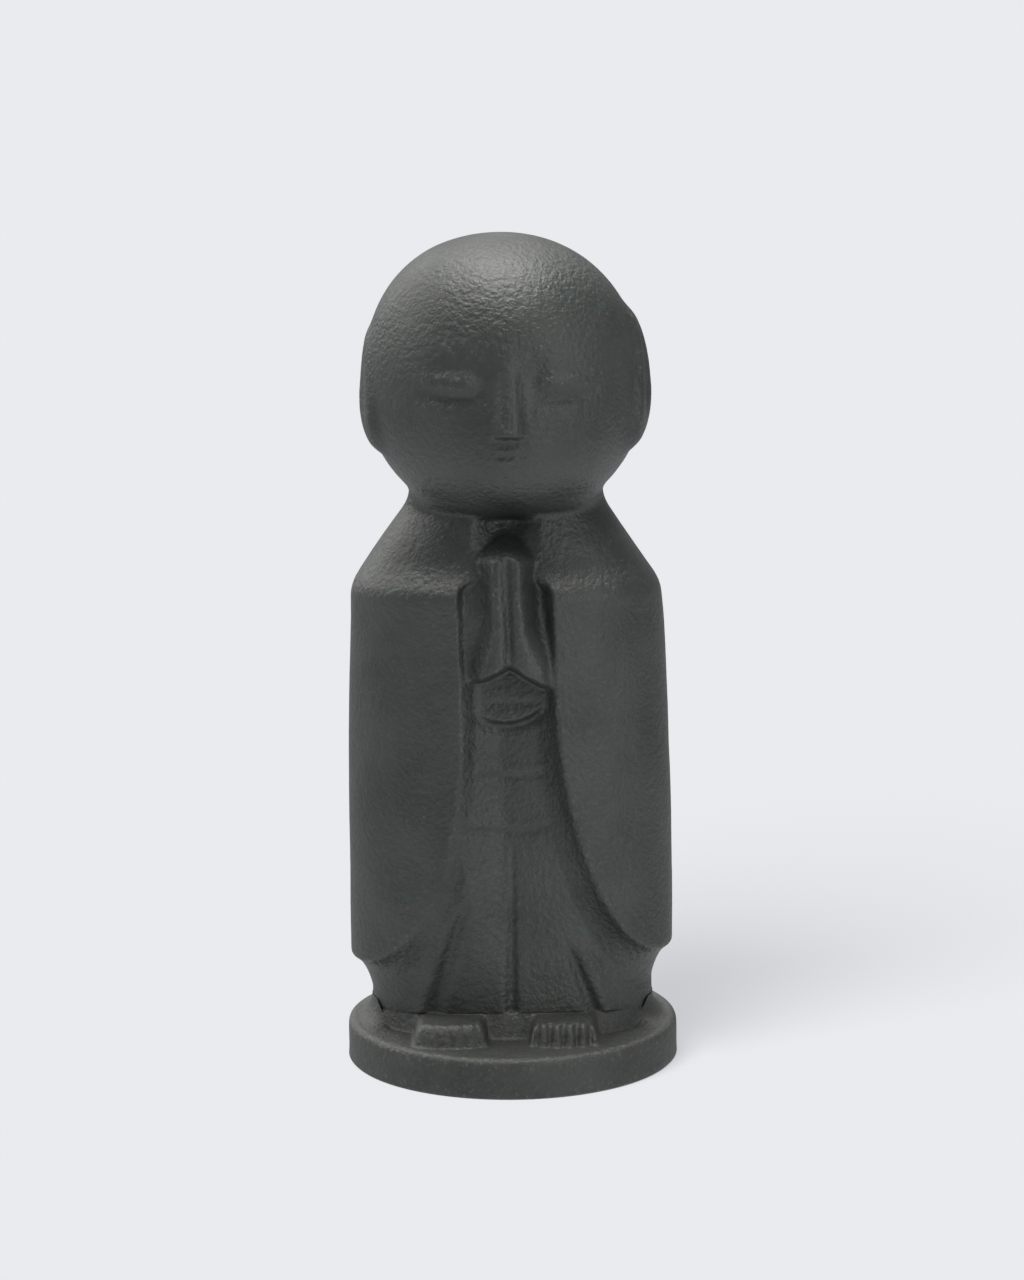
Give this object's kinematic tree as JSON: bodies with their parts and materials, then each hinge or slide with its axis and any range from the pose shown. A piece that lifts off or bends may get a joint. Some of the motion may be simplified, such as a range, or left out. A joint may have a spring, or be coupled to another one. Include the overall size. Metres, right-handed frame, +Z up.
{
  "type": "cast jizo figurine",
  "caption": "Small standing monk figure with a round head, hands laid together, hanging sleeves and a round foot disc, cast in one piece.",
  "frame": {"origin": "centre of the underside of the round foot disc, the face it stands on", "axes": "+Z up through the crown of the head, -Y out of the face and hands, +X to the viewer's right of the front"},
  "size_m": [0.048, 0.048, 0.121],
  "materials": {
    "cast_iron": "dark grey-green sand-cast skin, dull with a faint sheen on the crown"
  },
  "bodies": {
    "root": {"jizo_figure": "cast_iron"}
  },
  "joints": []
}
